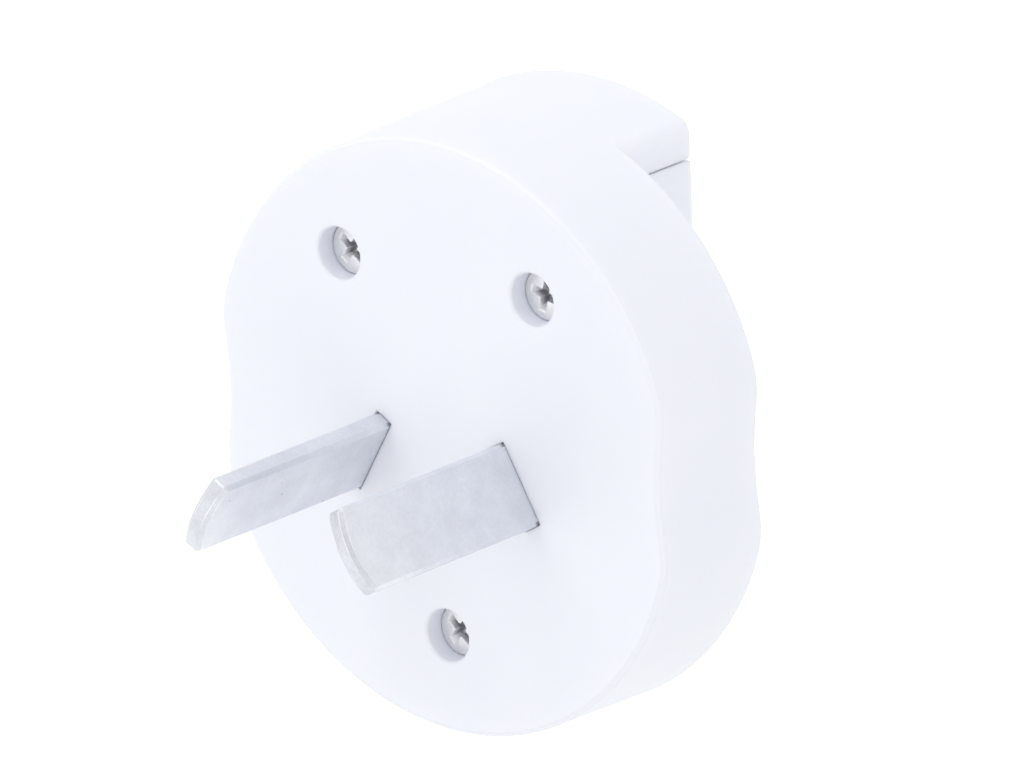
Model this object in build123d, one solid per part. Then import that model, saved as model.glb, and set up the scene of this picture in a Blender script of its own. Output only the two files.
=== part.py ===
from build123d import *
from math import atan2, cos, degrees, radians, sin, sqrt
import os

# Frame: the origin is the plug centre on the front face, which is the middle of the three
# pin places of the pin standard. X is to the right seen from the front, Y runs back through
# the body and Z is up. All lengths are millimetres and all angles degrees.

# Flat pins, as in AS/NZS 3112 and GB 1002: two live blades and no earth pin
blade_width = 6.35
blade_thickness = 1.5
blade_length = 18.0
blade_radius = 7.92
blade_angle = 30.0
blade_tip_radius = 7.3
blade_tip_corner = 0.45
blade_tip_bevel = 0.3
blade_fit = 0.03

# Inner end of each blade: a shoulder, a neck through the carrier and a swaged stub
shoulder_width = 9.2
shoulder_depth = 2.0
neck_width = 4.6
stub_width = 3.0
swage_width = 3.9
swage_thickness = 2.4
swage_depth = 0.55
swage_edge_radius = 0.33
stub_fit = 0.02

# Front cover outline: two nearly equal discs set apart, with a finger waist on each side
top_arc_radius = 21.2
top_arc_height = 7.0
bottom_arc_radius = 21.3
bottom_arc_height = 5.55
waist_half_width = 20.16
waist_height = 6.16
waist_radius = 26.0
shoulder_radius = 7.3

# Front cover as a moulding
cover_depth = 10.4
cover_draft_angle = 1.5
face_wall = 2.2
rim_wall = 2.0
ledge_width = 0.8
front_edge_bevel = 0.3
rim_edge_bevel = 0.22
rib_wall = 1.2

# Hood: the top wall of the cover carried on over the rear block
back_depth = 17.9
tongue_width = 18.08
seam_height = 24.1
seam_gap = 0.12
hood_crease_radius = 1.4
hood_back_radius = 0.85
hood_lip_radius = 1.1
hood_core_wall = 2.0
hood_root = 1.0

# Case screws: 2 mm self-tapping screws, pan head with a cross recess
screw_side_offset = 9.02
screw_top_inset = 6.82
screw_bottom_inset = 7.2
screw_head_diameter = 3.8
screw_head_depth = 1.15
screw_head_bevel = 0.3
screw_sink = 1.38
screw_length = 6.3
screw_shank_diameter = 1.64
screw_play = 0.03
counterbore_diameter = 3.9
counterbore_edge_bevel = 0.12
screw_clear_diameter = 2.3
cover_boss_diameter = 6.0
cover_boss_depth = 2.0
cross_span = 2.5
cross_width = 0.6
cross_depth = 0.95
cross_floor_span = 1.1
screw_turns = {"top_left": 38.0, "top_right": 15.0, "bottom": 41.0}

# Rear housing: a plate in the cover's rim and the slide block on it
plate_depth = 1.95
plate_fit = 0.12
plate_recess = 0.1
boss_diameter = 5.4
boss_gap = 0.05
boss_margin = 0.3
bore_spare = 0.4
block_bottom = -10.0
block_edge_radius = 0.8
block_lip_radius = 1.0
block_wall = 1.8
core_half_width = 6.3
key_width = 13.0
key_fit = 0.2

# Guide grooves on both sides of the block, which make it a slide rail
groove_depth = 1.4
groove_width = 2.2
groove_top = 19.0

# Latch pocket in the back of the block
latch_width = 7.0
latch_height = 4.6
latch_depth = 2.0
latch_centre_height = 15.0
latch_corner_radius = 0.6

# Contact slots, open at the back and at the lower end of the block
slot_offset = 4.3
slot_width = 4.4
slot_depth = 4.7
slot_length = 17.0
slot_floor = 1.5
window_play = 0.35

# Contact carrier: the insulating plate that clamps the blades
carrier_width = 27.0
carrier_height = 17.0
carrier_centre_height = 4.0
carrier_thickness = 1.8
carrier_corner_radius = 3.0
carrier_fit = 0.1
barrier_thickness = 1.2
barrier_depth = 1.9
barrier_height = 9.0
peg_width = 2.0
peg_spacing = 12.4
peg_length = 4.2
clamp_rib_spacing = 23.0
clamp_rib_thickness = 1.2
clamp_rib_length = 11.0
clamp_gap = 0.05

# Links and spring contacts
link_thickness = 0.8
link_width = 4.6
contact_thickness = 0.4
contact_width = 3.4
contact_bend_radius = 0.7
contact_tab_reach = 1.7
contact_floor_gap = 0.3
contact_bow = 1.3
contact_bow_run = 3.6
contact_bow_radius = 3.0
contact_bow_start_radius = 0.9
contact_toe_rise = 0.5
contact_toe_length = 0.9
rivet_diameter = 1.6
rivet_head_diameter = 2.8
rivet_head_depth = 0.5
rivet_play = 0.03
rivet_height = -0.9
riser_height = -3.4

# Modelling room: how far cutting forms run past a surface and how deep posts are rooted
edge_margin = 1.0
post_root = 0.2
same_place = 0.01
crease_length_play = 0.1

# Places that follow from the sizes above
blade_x = blade_radius * cos(radians(blade_angle))
blade_z = blade_radius * sin(radians(blade_angle))
blade_lean = {"left": blade_angle, "right": -blade_angle}
blade_side = {"left": -1, "right": 1}
carrier_front = face_wall + shoulder_depth
carrier_back = carrier_front + carrier_thickness
link_back = carrier_back + link_thickness
contact_back = link_back + contact_thickness
plate_back = cover_depth - plate_recess
plate_front = plate_back - plate_depth
block_top = seam_height - seam_gap
half_tongue = tongue_width / 2
slot_bottom_y = back_depth - slot_depth
slot_top = block_bottom + slot_length
screw_seat = screw_sink + screw_head_depth
cover_low_end = min(top_arc_height - top_arc_radius, bottom_arc_height - bottom_arc_radius)
screw_bottom_height = cover_low_end + screw_bottom_inset
screw_top_reach = top_arc_radius - screw_top_inset
screw_top_height = top_arc_height + sqrt(screw_top_reach**2 - screw_side_offset**2)
screw_places = {
    "top_left": (-screw_side_offset, screw_top_height),
    "top_right": (screw_side_offset, screw_top_height),
    "bottom": (0.0, screw_bottom_height),
}


def at_depth(depth):
    """Drawing plane that faces the front, this far behind the front face."""
    return Plane.XZ.offset(-depth)


def prism(face, start, end):
    """Extrude a face drawn in X and Z from one depth to another."""
    return extrude(at_depth(start) * face, amount=start - end)


def block(x_low, x_high, y_low, y_high, z_low, z_high):
    """A box given by its corner coordinates."""
    middle = ((x_low + x_high) / 2, (y_low + y_high) / 2, (z_low + z_high) / 2)
    return Pos(*middle) * Box(x_high - x_low, y_high - y_low, z_high - z_low)


def at_blade(side):
    """Place of a blade's axis at the front face, leaning as the standard has it."""
    return Pos(blade_side[side] * blade_x, 0, blade_z) * Rot(0, blade_lean[side], 0)


def cover_outline(inset=0.0):
    """The waisted disc outline, or a parallel one that lies inside it."""
    top_disc = Pos(0, top_arc_height) * Circle(top_arc_radius - inset)
    bottom_disc = Pos(0, bottom_arc_height) * Circle(bottom_arc_radius - inset)
    outline = top_disc + bottom_disc
    waist_x = waist_half_width + waist_radius
    for sign in (-1, 1):
        outline -= Pos(sign * waist_x, waist_height) * Circle(waist_radius + inset)
    return fillet(outline.vertices(), shoulder_radius - inset)


def rings(circles, radius, depth):
    """Those of the circular edges that have this radius and lie at this depth."""
    wanted = [e for e in circles if abs(e.center().Y - depth) < same_place]
    return [e for e in wanted if abs(e.radius - radius) < same_place]


def edge_cutter(depth, height, radius, body_above):
    """What a rounding takes off an edge that runs along X at the given depth and height."""
    sign = 1 if body_above else -1
    low, high = sorted((height - sign * edge_margin, height + sign * radius))
    wide = half_tongue + edge_margin
    corner = block(-wide, wide, depth - radius, depth + edge_margin, low, high)
    axis = Pos(0, depth - radius, height + sign * radius) * Rot(0, 90, 0)
    return corner - axis * Cylinder(radius, 3 * wide)


def drafted_form():
    """The cover's outline carried back as far as the hood, with its sides drafted outwards."""
    body = prism(cover_outline(), 0, back_depth)
    return draft(body.faces().filter_by(GeomType.CYLINDER), Plane.XZ, cover_draft_angle)


def shell_body():
    """The cover's outer form with its cavity and the ledge that the plate sits on."""
    reach = top_arc_height + top_arc_radius + back_depth
    body = drafted_form() & block(-reach, reach, 0, cover_depth, -reach, reach)
    body = chamfer(body.edges().group_by(Axis.Y)[0], front_edge_bevel)
    body = chamfer(body.edges().group_by(Axis.Y)[-1], rim_edge_bevel)
    body -= prism(cover_outline(rim_wall + ledge_width), face_wall, cover_depth)
    body -= prism(cover_outline(rim_wall), plate_front, cover_depth)
    return body


def hood():
    """The tongue over the rear block: the cover's outline cut to the block's width."""
    top = back_depth + top_arc_height + top_arc_radius
    root = cover_depth - hood_root
    room = block(-half_tongue, half_tongue, root, back_depth, seam_height, top)
    tongue = (drafted_form() & room).solids()[0]
    run = back_depth - root
    creases = [e for e in tongue.edges() if e.center().Z > seam_height + same_place]
    creases = [e for e in creases if abs(e.length - run) < crease_length_play]
    tongue = fillet(creases, hood_crease_radius)
    back_edges = tongue.edges().group_by(Axis.Y)[-1]
    tongue = fillet([e for e in back_edges if e.center().Z > seam_height + same_place], hood_back_radius)
    tongue -= edge_cutter(back_depth, seam_height, hood_lip_radius, True)
    tongue -= prism(cover_outline(rim_wall), 0, cover_depth)
    core = prism(cover_outline(hood_core_wall), 0, back_depth - hood_core_wall)
    core_half = half_tongue - hood_core_wall
    return tongue - (core & block(-core_half, core_half, 0, back_depth, seam_height - edge_margin, top))


def blade_guides():
    """Rib frames behind the face that hold the blade shoulders."""
    wide = shoulder_width + 2 * blade_fit
    thick = blade_thickness + 2 * blade_fit
    frames = None
    for side in blade_side:
        outer = block(-thick / 2 - rib_wall, thick / 2 + rib_wall, face_wall - post_root, carrier_front,
                      -wide / 2 - rib_wall, wide / 2 + rib_wall)
        inner = block(-thick / 2, thick / 2, face_wall, cover_depth, -wide / 2, wide / 2)
        frame = at_blade(side) * (outer - inner)
        frames = frame if frames is None else frames + frame
    return frames


def blade_slots():
    """Openings in the face for the exposed blades."""
    wide = blade_width + 2 * blade_fit
    thick = blade_thickness + 2 * blade_fit
    slot = block(-thick / 2, thick / 2, -edge_margin, carrier_front, -wide / 2, wide / 2)
    return [at_blade(side) * slot for side in blade_side]


def front_cover():
    """Front moulding: waisted shell, hood, screw seats, blade slots and guides."""
    body = shell_body() + hood()
    body += blade_guides()
    for x, z in screw_places.values():
        boss = Pos(x, z) * Circle(cover_boss_diameter / 2)
        body += prism(boss, face_wall - post_root, face_wall + cover_boss_depth)
    for sign in (-1, 1):
        peg = Pos(0, carrier_centre_height + sign * peg_spacing / 2) * Rectangle(peg_width, peg_width)
        body += prism(peg, face_wall - post_root, face_wall + peg_length)
    for x, z in screw_places.values():
        body -= prism(Pos(x, z) * Circle(counterbore_diameter / 2), 0, screw_seat)
        body -= prism(Pos(x, z) * Circle(screw_clear_diameter / 2), 0, cover_depth)
    for slot in blade_slots():
        body -= slot
    circles = body.edges().filter_by(GeomType.CIRCLE)
    return chamfer(rings(circles, counterbore_diameter / 2, 0), counterbore_edge_bevel)


def slide_block():
    """The outer form of the narrow block behind the plate."""
    body = block(-half_tongue, half_tongue, plate_front, back_depth, block_bottom, block_top)
    upright = body.edges().filter_by(Axis.Z).group_by(Axis.Y)[-1]
    lower = body.edges().group_by(Axis.Z)[0].filter_by(lambda e: e.center().Y > cover_depth)
    body = fillet(upright + lower, block_edge_radius)
    body -= edge_cutter(back_depth, block_top, block_lip_radius, False)
    room = prism(cover_outline(rim_wall + plate_fit), plate_front, cover_depth + plate_fit)
    room += block(-half_tongue, half_tongue, cover_depth + plate_fit, back_depth, block_bottom, block_top)
    return body & room


def guide_groove(side):
    """The groove along one side of the block that makes it a slide rail."""
    outer = side * (half_tongue + edge_margin)
    inner = side * (half_tongue - groove_depth)
    low, high = sorted((inner, outer))
    return block(low, high, plate_back, plate_back + groove_width, block_bottom - edge_margin, groove_top)


def contact_slot(side):
    """A slot for one contact fin, open at the back and at the block's lower end."""
    half = slot_width / 2
    middle = side * slot_offset
    low = block_bottom - edge_margin
    high = slot_top - half
    back = back_depth + edge_margin
    straight = block(middle - half, middle + half, slot_bottom_y, back, low, high)
    return straight + prism(Pos(middle, high) * Circle(half), slot_bottom_y, back)


def contact_window(side):
    """The slit in a slot's floor that the contact spring comes through."""
    half = contact_width / 2 + window_play / 2
    middle = side * slot_offset
    reach = contact_bend_radius + contact_thickness + window_play
    low = riser_height - contact_thickness / 2 - window_play
    back = slot_bottom_y + edge_margin
    return block(middle - half, middle + half, plate_front, back, low, low + reach)


def latch_pocket():
    """The catch in the back of the block for the supply's latch."""
    shape = Pos(0, latch_centre_height) * RectangleRounded(latch_width, latch_height, latch_corner_radius)
    return prism(shape, back_depth - latch_depth, back_depth + edge_margin)


def block_cores():
    """The two hollows inside the block that keep its walls even."""
    floor_front = slot_bottom_y - slot_floor
    latch_front = back_depth - latch_depth - block_wall
    low = screw_bottom_height + boss_diameter / 2 + boss_margin
    lower = block(-core_half_width, core_half_width, 0, floor_front, low, slot_top + slot_floor)
    upper_top = block_top - block_wall
    upper_half = screw_side_offset - boss_diameter / 2 - boss_margin
    upper = block(-upper_half, upper_half, 0, latch_front, slot_top, upper_top)
    return lower + upper


def hood_key():
    """The rib on top of the block that fills the hollow of the hood and locates it."""
    front = cover_depth + key_fit
    back = back_depth - hood_core_wall - key_fit
    roof = top_arc_height + top_arc_radius
    half = key_width / 2
    room = block(-half, half, front, back, block_top - block_wall, roof)
    return prism(cover_outline(hood_core_wall + key_fit), front, back) & room


def rear_housing():
    """Rear moulding: plate, screw bosses, clamp ribs and the slide block."""
    body = prism(cover_outline(rim_wall + plate_fit), plate_front, plate_back) + slide_block()
    body -= block_cores() & block(-half_tongue, half_tongue, 0, back_depth, block_bottom, block_top)
    for side in (-1, 1):
        body -= guide_groove(side)
        body -= contact_slot(side)
        body -= contact_window(side)
    body -= latch_pocket()
    boss_front = face_wall + cover_boss_depth + boss_gap
    for x, z in screw_places.values():
        body += prism(Pos(x, z) * Circle(boss_diameter / 2), boss_front, plate_front + post_root)
        bore = screw_shank_diameter / 2 + screw_play
        body -= prism(Pos(x, z) * Circle(bore), 0, screw_seat + screw_length + bore_spare)
    for x in (-clamp_rib_spacing / 2, clamp_rib_spacing / 2):
        rib = Pos(x, carrier_centre_height) * Rectangle(clamp_rib_thickness, clamp_rib_length)
        body += prism(rib, carrier_back + clamp_gap, plate_front + post_root)
    return body + hood_key()


def strip(width, low, high):
    """A flat rectangle about the sheet's upright axis, from one height to another."""
    return Pos(0, (low + high) / 2) * Rectangle(width, high - low)


def blade_profile():
    """Side view of one blade, drawn with its width along the sheet and its length up it."""
    tip_centre = blade_tip_radius - blade_length
    round_end = Pos(0, tip_centre) * Circle(blade_tip_radius) + strip(blade_width, tip_centre, face_wall)
    exposed = strip(blade_width, -blade_length, face_wall) & round_end
    exposed = fillet(exposed.vertices().sort_by(Axis.Y)[:2], blade_tip_corner)
    shoulder = strip(shoulder_width, face_wall, carrier_front)
    neck = strip(neck_width, carrier_front, carrier_back)
    return exposed + shoulder + neck + strip(stub_width, carrier_back, link_back)


def blade(side):
    """One stamped brass blade, nickel plated, with its inner end swaged over."""
    lie_flat = Plane(origin=(blade_thickness / 2, 0, 0), x_dir=(0, 0, 1), z_dir=(-1, 0, 0))
    body = extrude(lie_flat * blade_profile(), amount=blade_thickness)
    face_edges = [e for e in body.edges() if abs(abs(e.center().X) - blade_thickness / 2) < same_place]
    tip_edges = [e for e in face_edges if e.center().Y < blade_tip_radius - blade_length]
    body = chamfer(tip_edges, blade_tip_bevel)
    swage = block(-swage_thickness / 2, swage_thickness / 2, link_back, link_back + swage_depth,
                  -swage_width / 2, swage_width / 2)
    swage = fillet(swage.faces().sort_by(Axis.Y)[-1].edges(), swage_edge_radius)
    return at_blade(side) * (body + swage)


def contact_carrier():
    """Insulating plate that clamps the shoulders and parts the two poles."""
    shape = RectangleRounded(carrier_width, carrier_height, carrier_corner_radius)
    body = prism(Pos(0, carrier_centre_height) * shape, carrier_front, carrier_back)
    half = barrier_height / 2
    low = carrier_centre_height - half
    high = carrier_centre_height + half
    back = carrier_back + barrier_depth
    body += block(-barrier_thickness / 2, barrier_thickness / 2, carrier_front, back, low, high)
    wide = neck_width / 2 + carrier_fit
    thick = blade_thickness / 2 + carrier_fit
    hole = block(-thick, thick, 0, cover_depth, -wide, wide)
    pocket_side = rivet_head_diameter + 2 * carrier_fit
    pocket = Rectangle(pocket_side, pocket_side)
    for side in blade_side:
        body -= at_blade(side) * hole
        head_room = Pos(blade_side[side] * slot_offset, rivet_height) * pocket
        body -= prism(head_room, carrier_back - rivet_head_depth - carrier_fit, cover_depth)
    peg_hole = Rectangle(peg_width + 2 * carrier_fit, peg_width + 2 * carrier_fit)
    for sign in (-1, 1):
        z = carrier_centre_height + sign * peg_spacing / 2
        body -= prism(Pos(0, z) * peg_hole, 0, cover_depth)
    return body


def link(side):
    """Brass strip that joins a blade to its spring contact."""
    sign = blade_side[side]
    run = Line((sign * slot_offset, rivet_height), (sign * blade_x, blade_z))
    angle = degrees(atan2(blade_z - rivet_height, sign * (blade_x - slot_offset)))
    middle = run @ 0.5
    strip = prism(Pos(middle.X, middle.Y) * SlotCenterToCenter(run.length, link_width, rotation=angle),
                  carrier_back, link_back)
    wide = stub_width / 2 + stub_fit
    thick = blade_thickness / 2 + stub_fit
    strip -= at_blade(side) * block(-thick, thick, 0, cover_depth, -wide, wide)
    return strip - rivet_hole(side)


def rivet_hole(side):
    """Hole for a rivet through a link and its contact."""
    place = Pos(blade_side[side] * slot_offset, rivet_height)
    return prism(place * Circle(rivet_diameter / 2), 0, cover_depth)


def spring_contact(side):
    """Leaf spring: a riveted tab, a riser through the slot's floor and a bowed free end."""
    tab_y = link_back + contact_thickness / 2
    leaf_y = slot_bottom_y + contact_floor_gap + contact_thickness / 2
    tab_top = rivet_height + contact_tab_reach
    bow_start = riser_height + contact_bow_run / 3
    bow_peak = bow_start + contact_bow_run
    bow_end = bow_peak + contact_bow_run
    toe = (leaf_y + contact_toe_rise, bow_end + contact_toe_length)
    bends = [contact_bend_radius] * 2 + [contact_bow_start_radius, contact_bow_radius, contact_bend_radius]
    path = FilletPolyline(
        (tab_y, tab_top), (tab_y, riser_height), (leaf_y, riser_height), (leaf_y, bow_start),
        (leaf_y + contact_bow, bow_peak), (leaf_y, bow_end), toe, radius=bends,
    )
    strip = make_face(offset(path, amount=contact_thickness / 2, side=Side.BOTH).edges())
    low = blade_side[side] * slot_offset - contact_width / 2
    leaf = extrude(Plane.YZ.offset(low) * strip, amount=contact_width)
    return leaf - rivet_hole(side)


def rivet(side):
    """Rivet that joins a contact to its link, with a flat head at each end."""
    shank = rivet_diameter / 2 - rivet_play
    head = rivet_head_diameter / 2
    low = carrier_back - rivet_head_depth
    high = contact_back + rivet_head_depth
    with BuildSketch() as half:
        with BuildLine():
            Polyline(
                (0, low), (head, low), (head, carrier_back), (shank, carrier_back),
                (shank, contact_back), (head, contact_back), (head, high), (0, high), close=True,
            )
        make_face()
    return Pos(blade_side[side] * slot_offset, 0, rivet_height) * revolve(half.sketch, Axis.Y)


def cross_recess():
    """The crossed driver recess: two wings that narrow with depth."""
    half_top = cross_span / 2
    half_floor = cross_floor_span / 2
    floor = screw_sink + cross_depth
    side = Polyline(
        (-half_top, screw_sink), (half_top, screw_sink), (half_floor, floor), (-half_floor, floor), close=True
    )
    wing = Pos(0, 0, -cross_width / 2) * extrude(make_face(side), amount=cross_width)
    return wing + Rot(0, 90, 0) * wing


def case_screw(place):
    """Self-tapping case screw; its thread is left plain at the size of the pilot hole."""
    x, z = screw_places[place]
    head = screw_head_diameter / 2
    body = prism(Circle(head), screw_sink, screw_seat)
    body += prism(Circle(screw_shank_diameter / 2), screw_seat, screw_seat + screw_length)
    circles = body.edges().filter_by(GeomType.CIRCLE)
    body = chamfer(rings(circles, head, screw_sink), screw_head_bevel)
    return Pos(x, 0, z) * Rot(0, screw_turns[place], 0) * (body - cross_recess())


def export_all(shapes):
    """Write each node to its own STEP file."""
    os.makedirs("parts", exist_ok=True)
    for name, shape in shapes.items():
        shape.label = name
        export_step(shape, f"parts/{name}.step")


nodes = {
    "front_cover": front_cover(),
    "rear_housing": rear_housing(),
    "contact_carrier": contact_carrier(),
}
for side in blade_side:
    nodes[f"{side}_blade"] = blade(side)
    nodes[f"{side}_link"] = link(side)
    nodes[f"{side}_contact"] = spring_contact(side)
    nodes[f"{side}_rivet"] = rivet(side)
for place in screw_places:
    nodes[f"screw_{place}"] = case_screw(place)
export_all(nodes)
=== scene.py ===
from math import cos, hypot, pi, radians, sin, sqrt

import bpy
from mathutils import Matrix, Vector


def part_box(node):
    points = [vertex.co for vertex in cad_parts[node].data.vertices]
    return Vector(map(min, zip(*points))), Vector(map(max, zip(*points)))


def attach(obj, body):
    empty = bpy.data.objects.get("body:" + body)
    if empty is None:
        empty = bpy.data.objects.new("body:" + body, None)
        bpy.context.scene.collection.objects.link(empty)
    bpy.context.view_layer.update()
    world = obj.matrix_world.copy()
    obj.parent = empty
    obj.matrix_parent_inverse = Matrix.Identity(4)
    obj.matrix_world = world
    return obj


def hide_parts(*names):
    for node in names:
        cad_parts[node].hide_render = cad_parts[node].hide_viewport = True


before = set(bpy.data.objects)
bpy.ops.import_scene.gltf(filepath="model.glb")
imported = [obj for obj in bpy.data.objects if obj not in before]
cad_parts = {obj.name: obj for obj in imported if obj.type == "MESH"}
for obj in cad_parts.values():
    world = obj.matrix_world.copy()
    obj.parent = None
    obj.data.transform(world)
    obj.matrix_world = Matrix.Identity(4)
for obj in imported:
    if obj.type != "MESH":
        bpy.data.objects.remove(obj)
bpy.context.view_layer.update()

# Camera: the photograph's angle, worked out from the blades and the case screws
AZIMUTH = 41.588
ELEVATION = 18.571
ROLL = 1.937
DISTANCE = 1.12392
TARGET = (0.001525, 0.006095, 0.008877)
LENS = 559.1
SENSOR = 36.0
CLIP_START = 0.01
CLIP_END = 20.0

# Studio, in metres and watts
FLOOR_HEIGHT = -0.075
FLOOR_SIZE = 4.0
FLOOR_MOTTLE = 0.4
FLOOR_SHADES = ((0.93, 0.93, 0.93), (0.95, 0.95, 0.95))
FLOOR_GLOW = 0.2
FILL_LEVEL = 0.955
KEY_PLACE = (-0.40, -0.70, 1.05)
KEY_SIZE = 0.9
KEY_POWER = 2.4

# Case screws, in metres and degrees: a low pan head, its cross recess, and the thread
HEAD_DOME = 0.00014
HEAD_EDGE_RADIUS = 0.00012
HEAD_DEPTH = 0.00115
CROSS_SPAN = 0.00256
CROSS_WIDTH = 0.00062
CROSS_CENTRE = 0.00100
CROSS_DEPTH = 0.00110
CROSS_END_SLOPE = 1.7
CROSS_WALL_SLOPE = 6.0
CROSS_CENTRE_SLOPE = 4.0
CROSS_SOFTNESS = 0.00006
CROSS_TURNS = {"top_left": 38.0, "top_right": 15.0, "bottom": 41.0}
SHANK_RADIUS = 0.00082
THREAD_PITCH = 0.0008
THREAD_DEPTH = 0.0002
THREAD_SHARPNESS = 4.5
POINT_LENGTH = 0.0008
POINT_RADIUS = 0.0003
SMOOTH_ANGLE = 50.0

# Points of a screw's mesh: round it, from its crown to its rim, and down its shank
SCREW_AROUND = 160
SCREW_ACROSS = 72
SCREW_ALONG = 70

# Painted shade in a cross recess, in place of dark reflections: it starts and is full at these
# shares of the recess's depth, and is eased near the recess's floor
WALL_PAINTED_SHADE = (0.12, 0.35)
END_PAINTED_SHADE = (0.40, 0.75)
RECESS_FLOOR_EASING = (0.8, 1.0)
RECESS_FLOOR_EASING_SHARE = 0.55
PAINTED_SHADE_TONE = 0.04
PAINTED_SHADE_SHARE = 0.85

# The painted highlight round the rim of a cross recess, by the same shares
RIM_RISE = (0.02, 0.10)
RIM_FALL = (0.25, 0.60)
RIM_REST = 0.3
RIM_HIGHLIGHT_TONE = 0.9

# Blades, in metres: painted shade on the edges and nose, a painted highlight on a ridge high on the
# nose with painted shade beside it, a painted glint, and small specks
BLADE_EDGE = 0.00006
EDGE_SHADE_TONE = 0.10
EDGE_SHADE_SHARE = 0.7
NOSE_SHADE_TONE = 0.17
NOSE_SHADE_SHARE = 0.85
RIDGE_START = -0.0169
RIDGE_FULL = -0.0174
RIDGE_LOW = 0.0030
RIDGE_HIGH = 0.0044
RIDGE_WIDTH = 0.00013
RIDGE_SHARPNESS = 0.96
RIDGE_BREAKS = 0.0008
BREAK_RANGE = (0.36, 0.46)
BREAK_REST = 0.2
RIDGE_SHADE = 0.00026
RIDGE_SHADE_SHARE = 0.45
GLINT = (0.00588, -0.01705, 0.00700)
GLINT_SIZE = 0.00030
SPECK_SIZE = 0.00014
SPECK_SHARE = 0.8
SPECKS = (
    (-0.00554, -0.01065, 0.00475),
    (-0.00619, -0.00997, 0.00361),
    (-0.00760, -0.00417, 0.00117),
    (-0.00537, -0.01629, 0.00503),
)

# Moulded plastic, in metres: dark and light shades, flow marks, clouds and spark-eroded grain
WHITE = ((0.866, 0.886, 0.972), (0.878, 0.897, 0.978))
PALE = ((0.76, 0.76, 0.73), (0.80, 0.80, 0.77))
PLASTIC_IOR = 1.5
FLOW_SIZE = 0.009
FLOW_STRETCH = (1.0, 1.0, 1.6)
CLOUD_SIZE = 0.004
GRAIN_SIZE = 0.00022
GRAIN_SHARE = 0.4
GLOSS_CHANGE = 0.05
GLOW_RADIUS = (1.0, 0.9, 0.8)
GLOW_SCALE = 0.0015

# Metals: deep, dark, light and brightest shades, and the tones from 0 to 1 at which they show; the
# deepest serves painted shade and specks, the brightest painted highlights
NICKEL = ((0.25, 0.27, 0.335), (0.725, 0.740, 0.785), (0.810, 0.825, 0.865), (0.99, 0.99, 0.99))
BRASS = ((0.35, 0.25, 0.12), (0.66, 0.50, 0.23), (0.80, 0.64, 0.33), (0.86, 0.72, 0.42))
BRONZE = ((0.30, 0.20, 0.12), (0.60, 0.41, 0.25), (0.74, 0.54, 0.35), (0.82, 0.62, 0.42))
STEEL = ((0.17, 0.175, 0.20), (0.80, 0.80, 0.81), (0.88, 0.88, 0.885), (0.98, 0.98, 0.985))
SHADE_TONES = (0.0, 0.25, 0.75, 1.0)
MOTTLE_RANGE = (0.34, 0.66)
MOTTLE_TONES = (0.28, 0.78)
MOTTLE_GRAIN = 8
MOTTLE_GRAIN_SHARE = 0.3
POLISH_START = 0.4


# Camera and lamp

def aim(place, target):
    """A matrix at one place that looks at another, level with the horizon."""
    turn = (Vector(target) - Vector(place)).to_track_quat("-Z", "Y")
    return Matrix.Translation(place) @ turn.to_matrix().to_4x4()


def make_camera():
    """The camera at the photograph's angle."""
    a = radians(AZIMUTH)
    e = radians(ELEVATION)
    back = Vector((sin(a) * cos(e), -cos(a) * cos(e), sin(e)))
    data = bpy.data.cameras.new("photo_camera")
    data.lens = LENS
    data.sensor_width = SENSOR
    data.clip_start = CLIP_START
    data.clip_end = CLIP_END
    camera = bpy.data.objects.new("photo_camera", data)
    bpy.context.scene.collection.objects.link(camera)
    level = aim(Vector(TARGET) + back * DISTANCE, TARGET)
    camera.matrix_world = level @ Matrix.Rotation(radians(-ROLL), 4, "Z")
    bpy.context.scene.camera = camera


def make_key():
    """One large soft lamp from the upper left."""
    data = bpy.data.lights.new("key", "AREA")
    data.shape = "DISK"
    data.size = KEY_SIZE
    data.energy = KEY_POWER
    lamp = bpy.data.objects.new("key", data)
    bpy.context.scene.collection.objects.link(lamp)
    lamp.matrix_world = aim(KEY_PLACE, TARGET)


# Node helpers

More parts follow.
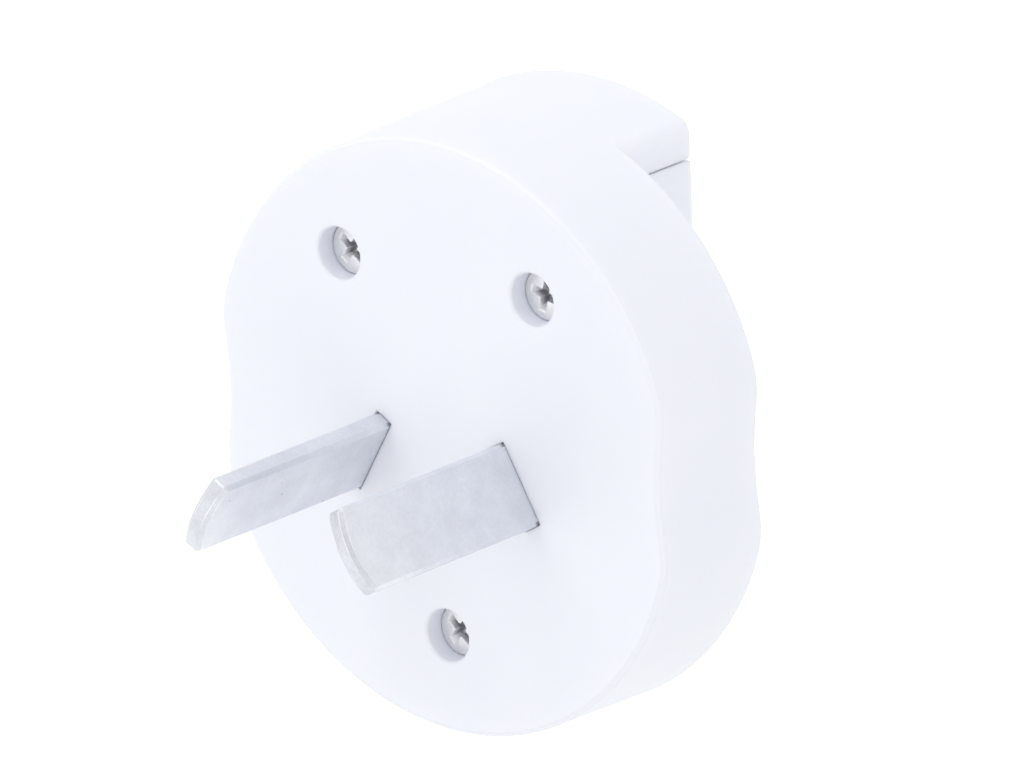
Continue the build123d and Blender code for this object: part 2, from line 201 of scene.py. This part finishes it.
class Tree:
    """A node tree with short calls for the nodes that the materials here need."""

    def __init__(self, owner):
        owner.use_nodes = True
        self.tree = owner.node_tree
        self.tree.nodes.clear()

    def add(self, kind, **settings):
        """A new node of a kind, with its settings."""
        node = self.tree.nodes.new("ShaderNode" + kind)
        for key, value in settings.items():
            setattr(node, key, value)
        return node

    def link(self, source, target):
        self.tree.links.new(source, target)

    def value(self, operation, first, second):
        """A math node on two values, each a number or a socket."""
        node = self.add("Math", operation=operation)
        for socket, item in zip(node.inputs, (first, second)):
            if isinstance(item, (int, float)):
                socket.default_value = item
            else:
                self.link(item, socket)
        return node.outputs[0]

    def times(self, first, second):
        return self.value("MULTIPLY", first, second)

    def mix(self, share, first, second):
        """A blend of two values, by a share from 0 to 1 of the second."""
        rest = self.value("SUBTRACT", 1.0, share)
        return self.value("ADD", self.times(first, rest), self.times(second, share))

    def span(self, source, low, high, start=0.3, end=0.7):
        """Low where the source is at the start, high at the end, and even between them."""
        node = self.add("MapRange")
        node.inputs["From Min"].default_value = start
        node.inputs["From Max"].default_value = end
        node.inputs["To Min"].default_value = low
        node.inputs["To Max"].default_value = high
        self.link(source, node.inputs["Value"])
        return node.outputs[0]

    def ramp(self, source, *stops):
        """Colours along a value: each stop is a place and a colour."""
        node = self.add("ValToRGB")
        elements = node.color_ramp.elements
        while len(elements) < len(stops):
            elements.new(0.5)
        for element, (place, colour) in zip(elements, stops):
            element.position = place
            element.color = (*colour, 1.0)
        self.link(source, node.inputs[0])
        return node.outputs[0]

    def noise(self, size, detail=3.0, stretch=(1, 1, 1)):
        """Noise whose grains are about this many metres across, stretched along an axis."""
        place = self.add("TexCoord")
        mapping = self.add("Mapping")
        mapping.inputs["Scale"].default_value = [1 / (size * s) for s in stretch]
        texture = self.add("TexNoise")
        texture.inputs["Scale"].default_value = 1.0
        texture.inputs["Detail"].default_value = detail
        self.link(place.outputs["Object"], mapping.inputs["Vector"])
        self.link(mapping.outputs[0], texture.inputs["Vector"])
        return texture.outputs[0]

    def spot(self, place, size):
        """1 in the middle of a small soft spot at a place on the object, and 0 outside it."""
        here = self.add("TexCoord")
        reach = self.add("VectorMath", operation="DISTANCE")
        self.link(here.outputs["Object"], reach.inputs[0])
        reach.inputs[1].default_value = place
        return self.span(reach.outputs["Value"], 1.0, 0.0, size / 3, size)

    def along(self, axis):
        """The object's own place along X, Y or Z."""
        here = self.add("TexCoord")
        split = self.add("SeparateXYZ")
        self.link(here.outputs["Object"], split.inputs[0])
        return split.outputs[axis]

    def facing_front(self):
        """1 on faces that look out of the front, such as a blade's end and its bevels."""
        geometry = self.add("NewGeometry")
        split = self.add("SeparateXYZ")
        self.link(geometry.outputs["True Normal"], split.inputs[0])
        return self.span(split.outputs["Y"], 1.0, 0.0, -0.5, -0.2)

    def rounding(self, radius):
        """The normal of edges rounded by this many metres."""
        node = self.add("Bevel", samples=6)
        node.inputs["Radius"].default_value = radius
        return node.outputs[0]

    def edges(self, width, full=0.90):
        """1 on edges, out to about this many metres from them, and 0 on open faces."""
        geometry = self.add("NewGeometry")
        dot = self.add("VectorMath", operation="DOT_PRODUCT")
        self.link(self.rounding(width), dot.inputs[0])
        self.link(geometry.outputs["Normal"], dot.inputs[1])
        return self.span(dot.outputs["Value"], 1.0, 0.0, full, 0.995)

    def bump(self, height, depth, edge):
        """A normal from a height map this many metres deep, over edges rounded a little."""
        node = self.add("Bump")
        node.inputs["Distance"].default_value = depth
        self.link(self.rounding(edge), node.inputs["Normal"])
        self.link(height, node.inputs["Height"])
        return node.outputs[0]


def surface(name):
    """A new material with a Principled shader, its node tree and that shader."""
    material = bpy.data.materials.new(name)
    tree = Tree(material)
    shader = tree.add("BsdfPrincipled")
    output = tree.add("OutputMaterial")
    tree.link(shader.outputs[0], output.inputs["Surface"])
    return material, tree, shader


# Materials

def moulded_plastic(name, shades, rough, grain_depth, edge, glow):
    """Satin moulded plastic: faint flow variation in colour and a fine spark-eroded grain."""
    dark, light = shades
    material, tree, shader = surface(name)
    shader.inputs["IOR"].default_value = PLASTIC_IOR
    shader.inputs["Subsurface Weight"].default_value = glow
    shader.inputs["Subsurface Radius"].default_value = GLOW_RADIUS
    shader.inputs["Subsurface Scale"].default_value = GLOW_SCALE
    flow = tree.noise(FLOW_SIZE, 2.0, FLOW_STRETCH)
    tree.link(tree.ramp(flow, (0.35, dark), (0.65, light)), shader.inputs["Base Color"])
    grain = tree.noise(GRAIN_SIZE, 2.0)
    patch = tree.mix(GRAIN_SHARE, tree.noise(CLOUD_SIZE), grain)
    gloss = tree.span(patch, rough - GLOSS_CHANGE, rough + GLOSS_CHANGE)
    tree.link(gloss, shader.inputs["Roughness"])
    tree.link(tree.bump(grain, grain_depth, edge), shader.inputs["Normal"])
    return material


def mottled_metal(name, shades, rough, polish, mottle, depth, edge, marks=None):
    """Plated or rolled metal: mottled, with its own marks, which include painted highlights and
    shade, and smoother where its tone is brightest.
    """
    material, tree, shader = surface(name)
    shader.inputs["Metallic"].default_value = 1.0
    cloud = tree.noise(mottle, 4.0)
    relief = tree.mix(MOTTLE_GRAIN_SHARE, cloud, tree.noise(mottle / MOTTLE_GRAIN))
    tone = tree.span(relief, *MOTTLE_TONES, *MOTTLE_RANGE)
    if marks:
        tone = marks(tree, tone)
    tree.link(tree.ramp(tone, *zip(SHADE_TONES, shades)), shader.inputs["Base Color"])
    gloss = tree.span(tone, rough, rough - polish, POLISH_START, 1.0)
    tree.link(gloss, shader.inputs["Roughness"])
    tree.link(tree.bump(relief, depth, edge), shader.inputs["Normal"])
    return material


def blade_marks(tree, tone):
    """Painted shade on edges and nose, a broken painted highlight on a ridge high on the nose with
    painted shade beside it, a painted glint and the specks.
    """
    # painted shade along the blade edges
    tone = tree.mix(tree.times(tree.edges(BLADE_EDGE), EDGE_SHADE_SHARE), tone, EDGE_SHADE_TONE)
    # painted shade on the nose, whose bevels would otherwise reflect bright
    tone = tree.mix(tree.times(tree.facing_front(), NOSE_SHADE_SHARE), tone, NOSE_SHADE_TONE)
    # painted highlight on a broken ridge high on the nose, with painted shade beside it
    nose = tree.span(tree.along("Y"), 1.0, 0.0, RIDGE_FULL, RIDGE_START)
    high = tree.span(tree.along("Z"), 0.0, 1.0, RIDGE_LOW, RIDGE_HIGH)
    there = tree.times(nose, high)
    shade = tree.times(there, tree.edges(RIDGE_SHADE))
    tone = tree.mix(tree.times(shade, RIDGE_SHADE_SHARE), tone, 0.0)
    ridge = tree.times(there, tree.edges(RIDGE_WIDTH, RIDGE_SHARPNESS))
    breaks = tree.span(tree.noise(RIDGE_BREAKS, 2.0), BREAK_REST, 1.0, *BREAK_RANGE)
    tone = tree.mix(tree.times(ridge, breaks), tone, 1.0)
    # painted glint at a tip corner
    tone = tree.mix(tree.spot(GLINT, GLINT_SIZE), tone, 1.0)
    for place in SPECKS:
        tone = tree.mix(tree.times(tree.spot(place, SPECK_SIZE), SPECK_SHARE), tone, 0.0)
    return tone


def screw_marks(tree, tone):
    """A painted highlight round the rim of the cross recess and painted shade in its depth."""
    cut = tree.add("Attribute", attribute_name="cut").outputs["Fac"]
    recess_shade = tree.add("Attribute", attribute_name="recess_shade").outputs["Fac"]
    # painted highlight round the recess's rim
    rim = tree.times(tree.span(cut, 0.0, 1.0, *RIM_RISE), tree.span(cut, 1.0, RIM_REST, *RIM_FALL))
    tone = tree.mix(rim, tone, RIM_HIGHLIGHT_TONE)
    # painted shade deep in the recess, in place of dark reflections
    return tree.mix(tree.times(recess_shade, PAINTED_SHADE_SHARE), tone, PAINTED_SHADE_TONE)


# Case screws

def fade(value, start, end):
    """0 below the start, 1 above the end and even between them."""
    return min(1.0, max(0.0, (value - start) / (end - start)))


def cross_recess(x, z):
    """Depth of the cross recess at a point of the head, and how much painted shade it has there."""
    parts = [(CROSS_CENTRE_SLOPE * (CROSS_CENTRE / 2 - hypot(x, z)), WALL_PAINTED_SHADE)]
    for along, across in ((x, z), (z, x)):
        end = CROSS_END_SLOPE * (CROSS_SPAN / 2 - abs(along))
        wall = CROSS_WALL_SLOPE * (CROSS_WIDTH / 2 - abs(across))
        parts.append((end, END_PAINTED_SHADE) if end < wall else (wall, WALL_PAINTED_SHADE))
    cut, recess_shade = max(parts)
    cut = min(cut, CROSS_DEPTH)
    soft = (cut + sqrt(cut * cut + CROSS_SOFTNESS**2)) / 2
    share = cut / CROSS_DEPTH
    return soft, fade(share, *recess_shade) - RECESS_FLOOR_EASING_SHARE * fade(share, *RECESS_FLOOR_EASING)


def head_top(x, z, head_radius):
    """Depth of the head's upper surface below its crown: a dome, a rounded rim and the cross."""
    reach = hypot(x, z)
    dome = HEAD_DOME * (reach / head_radius) ** 2
    over = max(0.0, reach - head_radius + HEAD_EDGE_RADIUS)
    rim = HEAD_EDGE_RADIUS - sqrt(max(0.0, HEAD_EDGE_RADIUS**2 - over * over))
    return dome + rim + cross_recess(x, z)[0]


def thread_radius(depth, angle, end):
    """Radius of the threaded shank at a depth and an angle, down to its blunt point."""
    phase = (depth / THREAD_PITCH + angle / (2 * pi)) % 1.0
    crest = max(0.0, 1.0 - abs(phase - 0.5) * THREAD_SHARPNESS)
    radius = SHANK_RADIUS - THREAD_DEPTH * (1.0 - crest)
    taper = max(0.0, depth - end + POINT_LENGTH) / POINT_LENGTH
    return radius * (1.0 - taper) + POINT_RADIUS * taper


def head_rings(head_radius, angles):
    """Rings of points over the head, from near its crown to its underside."""
    rings = []
    for step in range(1, SCREW_ACROSS + 1):
        reach = head_radius * step / SCREW_ACROSS
        spots = [(reach * cos(a), reach * sin(a)) for a in angles]
        rings.append([(x, head_top(x, z, head_radius), z) for x, z in spots])
    rings.append([(head_radius * cos(a), HEAD_DEPTH, head_radius * sin(a)) for a in angles])
    return rings


def shank_rings(end, angles):
    """Rings of points down the threaded shank."""
    rings = []
    for step in range(SCREW_ALONG + 1):
        depth = HEAD_DEPTH + (end - HEAD_DEPTH) * step / SCREW_ALONG
        reaches = [thread_radius(depth, a, end) for a in angles]
        rings.append([(r * cos(a), depth, r * sin(a)) for r, a in zip(reaches, angles)])
    return rings


def skin(rings):
    """Faces over rings of points that follow a first point and lead to a last one."""
    around = len(rings[0])
    last = 1 + (len(rings) - 1) * around
    faces = []
    for i in range(around):
        j = (i + 1) % around
        faces.append((0, 1 + i, 1 + j))
        for first in range(1, last, around):
            faces.append((first + i, first + around + i, first + around + j, first + j))
        faces.append((last + i, last + around, last + j))
    return faces


def mark(mesh, name, values):
    """Give each point of a mesh its own value: the first ones as listed, and 0 for the rest."""
    rest = [0.0] * (len(mesh.vertices) - len(values))
    mesh.attributes.new(name, "FLOAT", "POINT").data.foreach_set("value", values + rest)


def screw(place, material):
    """A case screw in the place of its node, as rings of points from its crown to its point."""
    low, high = (Vector(corner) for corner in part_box(f"screw_{place}"))
    middle = (low + high) / 2
    head_radius = (high.x - low.x) / 2
    end = high.y - low.y
    angles = [2 * pi * i / SCREW_AROUND for i in range(SCREW_AROUND)]
    rings = head_rings(head_radius, angles) + shank_rings(end, angles)
    points = [(0.0, head_top(0.0, 0.0, head_radius), 0.0)]
    points += [point for ring in rings for point in ring]
    points.append((0.0, end, 0.0))
    mesh = bpy.data.meshes.new(f"case_screw_{place}")
    mesh.from_pydata(points, [], skin(rings))
    upper = [cross_recess(x, z) for x, y, z in points[:1 + SCREW_ACROSS * SCREW_AROUND]]
    mark(mesh, "cut", [cut / CROSS_DEPTH for cut, recess_shade in upper])
    # painted shade of the recess, kept for each point
    mark(mesh, "recess_shade", [recess_shade for cut, recess_shade in upper])
    spin = Matrix.Rotation(radians(CROSS_TURNS[place]), 4, "Y")
    mesh.transform(Matrix.Translation((middle.x, low.y, middle.z)) @ spin)
    mesh.polygons.foreach_set("use_smooth", [True] * len(mesh.polygons))
    mesh.set_sharp_from_angle(angle=radians(SMOOTH_ANGLE))
    mesh.materials.append(material)
    piece = bpy.data.objects.new(f"case_screw_{place}", mesh)
    bpy.context.scene.collection.objects.link(piece)
    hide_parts(f"screw_{place}")
    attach(piece, "root")


# Studio

def seen_directly(tree):
    """1 where a camera, glossy or transmission ray arrives and 0 for the light itself."""
    path = tree.add("LightPath")
    either = tree.value("MAXIMUM", path.outputs["Is Camera Ray"], path.outputs["Is Glossy Ray"])
    return tree.value("MAXIMUM", either, path.outputs["Is Transmission Ray"])


def make_world():
    """Soft white surroundings that look plain white."""
    world = bpy.data.worlds.new("studio")
    bpy.context.scene.world = world
    tree = Tree(world)
    background = tree.add("Background")
    background.inputs["Color"].default_value = (1.0, 1.0, 1.0, 1.0)
    level = tree.span(seen_directly(tree), FILL_LEVEL, 1.0, 0.0, 1.0)
    tree.link(level, background.inputs["Strength"])
    output = tree.add("OutputWorld")
    tree.link(background.outputs[0], output.inputs["Surface"])


def floor_paint():
    """A pale paint that keeps the object's shadow and looks nearly white."""
    material = bpy.data.materials.new("pale_floor")
    tree = Tree(material)
    dark, light = FLOOR_SHADES
    colour = tree.ramp(tree.noise(FLOOR_MOTTLE, 2.0), (0.3, dark), (0.7, light))
    paint = tree.add("BsdfDiffuse")
    tree.link(colour, paint.inputs["Color"])
    glow = tree.add("Emission")
    tree.link(tree.times(seen_directly(tree), FLOOR_GLOW), glow.inputs["Strength"])
    both = tree.add("AddShader")
    tree.link(paint.outputs[0], both.inputs[0])
    tree.link(glow.outputs[0], both.inputs[1])
    output = tree.add("OutputMaterial")
    tree.link(both.outputs[0], output.inputs["Surface"])
    return material


def make_floor():
    """A plain pale floor below the plug, which is held in the air."""
    half = FLOOR_SIZE / 2
    sides = ((-half, -half), (half, -half), (half, half), (-half, half))
    mesh = bpy.data.meshes.new("floor")
    mesh.from_pydata([(x, y, FLOOR_HEIGHT) for x, y in sides], [], [(0, 1, 2, 3)])
    mesh.materials.append(floor_paint())
    floor = bpy.data.objects.new("floor", mesh)
    bpy.context.scene.collection.objects.link(floor)


# Dress the frame

def dress(material, *names):
    """Give CAD nodes a material."""
    for name in names:
        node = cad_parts[name]
        node.data.materials.clear()
        node.data.materials.append(material)


white = moulded_plastic(
    "cool_white_plastic", WHITE, rough=0.46, grain_depth=0.000003, edge=0.00025, glow=0.3)
pale = moulded_plastic(
    "insulating_plastic", PALE, rough=0.6, grain_depth=0.000008, edge=0.00012, glow=0.1)
nickel = mottled_metal(
    "satin_nickel", NICKEL, rough=0.35, polish=0.12, mottle=0.0022,
    depth=0.000016, edge=BLADE_EDGE, marks=blade_marks)
brass = mottled_metal(
    "rolled_brass", BRASS, rough=0.34, polish=0.1, mottle=0.0020, depth=0.000005, edge=0.00010)
bronze = mottled_metal(
    "spring_bronze", BRONZE, rough=0.30, polish=0.1, mottle=0.0020, depth=0.000004, edge=0.00008)
steel = mottled_metal(
    "bright_screw_plate", STEEL, rough=0.55, polish=0.3, mottle=0.0008,
    depth=0.000014, edge=0.00004, marks=screw_marks)

dress(white, "front_cover", "rear_housing")
dress(pale, "contact_carrier")
dress(nickel, "left_blade", "right_blade")
dress(brass, "left_link", "right_link", "left_rivet", "right_rivet")
dress(bronze, "left_contact", "right_contact")
dress(steel, "screw_top_left", "screw_top_right", "screw_bottom")
for place in CROSS_TURNS:
    screw(place, steel)

make_world()
make_floor()
make_key()
make_camera()
bpy.context.scene.view_settings.view_transform = "Standard"
